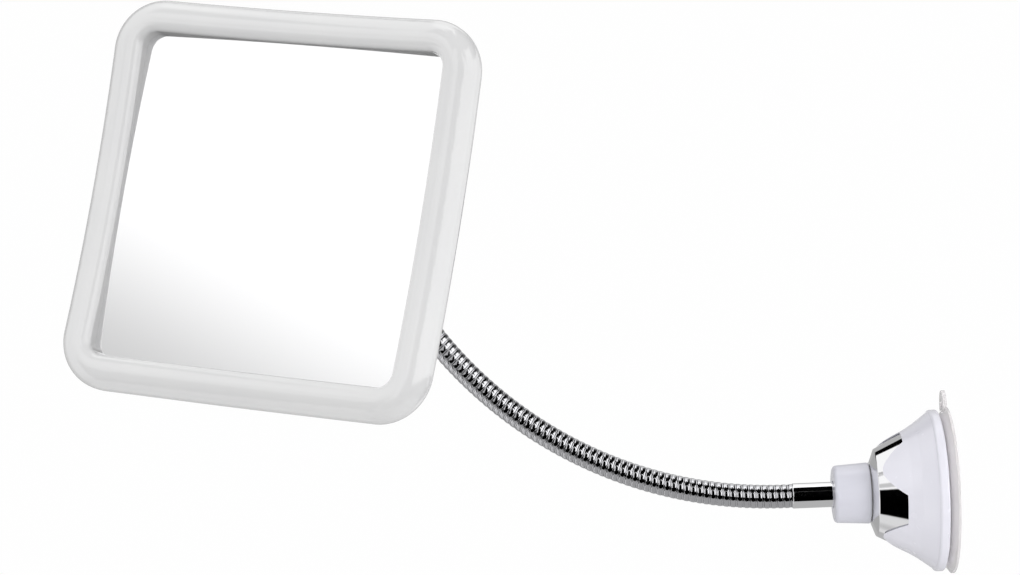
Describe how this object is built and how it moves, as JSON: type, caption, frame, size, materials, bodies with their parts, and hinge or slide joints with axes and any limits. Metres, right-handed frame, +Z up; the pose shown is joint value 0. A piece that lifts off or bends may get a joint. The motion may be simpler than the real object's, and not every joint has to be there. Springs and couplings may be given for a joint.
{
  "type": "fogless shower mirror",
  "caption": "Square white-framed shower mirror on a chrome gooseneck with a ball joint, held by a suction cup that a twist knob tightens.",
  "frame": {"origin": "centre of the suction cup's sealing face, in the plane of the wall", "axes": "+X into the wall along the cup's axis, +Z up, the mirror looks mostly towards -Y"},
  "size_m": [0.3612, 0.167, 0.2491],
  "materials": {
    "white_frame": "glossy moulded plastic",
    "white_cover": "glossy moulded plastic",
    "white_knob": "satin moulded plastic",
    "chrome": "polished",
    "hose_chrome": "polished wound wire",
    "mirror": "mirror",
    "clear_pvc": "clear soft plastic",
    "steel": "plated",
    "brass": "turned",
    "nylon": "matte",
    "foam": "closed-cell foam",
    "gasket_rubber": "matte silicone"
  },
  "bodies": {
    "wall_base": {"suction_cup": "clear_pvc", "pressure_cover": "white_cover", "chrome_cone": "chrome", "cone_screws": "steel", "thrust_washer": "nylon"},
    "knob": {"lock_knob": "white_knob", "knob_nut": "brass"},
    "stud": {"cup_stud": "steel", "base_ferrule": "chrome", "neck_link_01": "hose_chrome"},
    "link_02": {"neck_link_02": "hose_chrome"},
    "link_03": {"neck_link_03": "hose_chrome"},
    "link_04": {"neck_link_04": "hose_chrome"},
    "link_05": {"neck_link_05": "hose_chrome"},
    "link_06": {"neck_link_06": "hose_chrome"},
    "link_07": {"neck_link_07": "hose_chrome"},
    "link_08": {"neck_link_08": "hose_chrome"},
    "link_09": {"neck_link_09": "hose_chrome"},
    "link_10": {"neck_link_10": "hose_chrome", "head_ferrule": "chrome"},
    "swivel": {"ball_stud": "steel", "stud_circlip": "steel"},
    "liner": {"ball_liner": "nylon"},
    "head": {"front_bezel": "white_frame", "mirror_plate": "mirror", "foam_pad": "foam", "gasket": "gasket_rubber", "rear_cover": "white_frame", "socket_nut": "white_frame", "cover_screws": "steel"}
  },
  "joints": [
    {"name": "stud_pull", "type": "slide", "parent": "wall_base", "child": "stud", "axis": [-1, 0, 0], "range_m": [0, 0.0025]},
    {"name": "lock_twist", "type": "hinge", "parent": "wall_base", "child": "knob", "pos_m": [-0.0337, 0, 0], "axis": [1, 0, 0], "range_deg": [0, 150]},
    {"name": "neck_bend", "type": "hinge", "parent": "stud", "child": "link_02", "pos_m": [-0.09165, 0, 0.0013], "axis": [-0.0042, 0.9994, -0.0346], "range_deg": [-14, 14]},
    {"name": "neck_sway", "type": "hinge", "parent": "link_02", "child": "link_03", "pos_m": [-0.11637, 0, 0.00607], "axis": [-0.2578, 0, -0.9662], "range_deg": [-14, 14]},
    {"name": "neck_bend_2", "type": "hinge", "parent": "link_03", "child": "link_04", "pos_m": [-0.14018, 0, 0.01425], "axis": [-0.0136, 0.9994, -0.0321], "range_deg": [-14, 14]},
    {"name": "neck_sway_2", "type": "hinge", "parent": "link_04", "child": "link_05", "pos_m": [-0.16262, 0, 0.02568], "axis": [-0.5154, 0, -0.8569], "range_deg": [-14, 14]},
    {"name": "neck_bend_3", "type": "hinge", "parent": "link_05", "child": "link_06", "pos_m": [-0.18323, 0, 0.04014], "axis": [-0.022, 0.9994, -0.0271], "range_deg": [-14, 14]},
    {"name": "neck_sway_3", "type": "hinge", "parent": "link_06", "child": "link_07", "pos_m": [-0.20162, 0, 0.05734], "axis": [-0.7327, 0, -0.6805], "range_deg": [-14, 14]},
    {"name": "neck_curl", "type": "hinge", "parent": "link_07", "child": "link_08", "pos_m": [-0.21753, -0.00025, 0.07686], "axis": [0.7894, -0.1754, 0.5884], "range_deg": [-14, 14]},
    {"name": "neck_curl_2", "type": "hinge", "parent": "link_08", "child": "link_09", "pos_m": [-0.2329, -0.00685, 0.09551], "axis": [0.7894, -0.1754, 0.5884], "range_deg": [-14, 14]},
    {"name": "neck_curl_3", "type": "hinge", "parent": "link_09", "child": "link_10", "pos_m": [-0.247, -0.02163, 0.11002], "axis": [0.7894, -0.1754, 0.5884], "range_deg": [-14, 14]},
    {"name": "head_spin", "type": "hinge", "parent": "link_10", "child": "swivel", "pos_m": [-0.268, -0.06917, 0.12403], "axis": [-0.3481, -0.9173, 0.1936], "continuous": true},
    {"name": "head_pan", "type": "hinge", "parent": "swivel", "child": "liner", "pos_m": [-0.268, -0.06917, 0.12403], "axis": [0.1949, 0.1311, 0.972], "range_deg": [-20, 20]},
    {"name": "head_tilt", "type": "hinge", "parent": "liner", "child": "head", "pos_m": [-0.268, -0.06917, 0.12403], "axis": [0.917, -0.3761, -0.1331], "range_deg": [-20, 20]}
  ],
  "couplings": [
    {"joint": "lock_twist", "follows": "stud_pull", "rad_per_m": 1047},
    {"joint": "neck_bend_2", "follows": "neck_bend", "ratio": 1},
    {"joint": "neck_sway_2", "follows": "neck_sway", "ratio": 1},
    {"joint": "neck_bend_3", "follows": "neck_bend", "ratio": 1},
    {"joint": "neck_sway_3", "follows": "neck_sway", "ratio": 1},
    {"joint": "neck_curl_2", "follows": "neck_curl", "ratio": 1},
    {"joint": "neck_curl_3", "follows": "neck_curl", "ratio": 1}
  ]
}
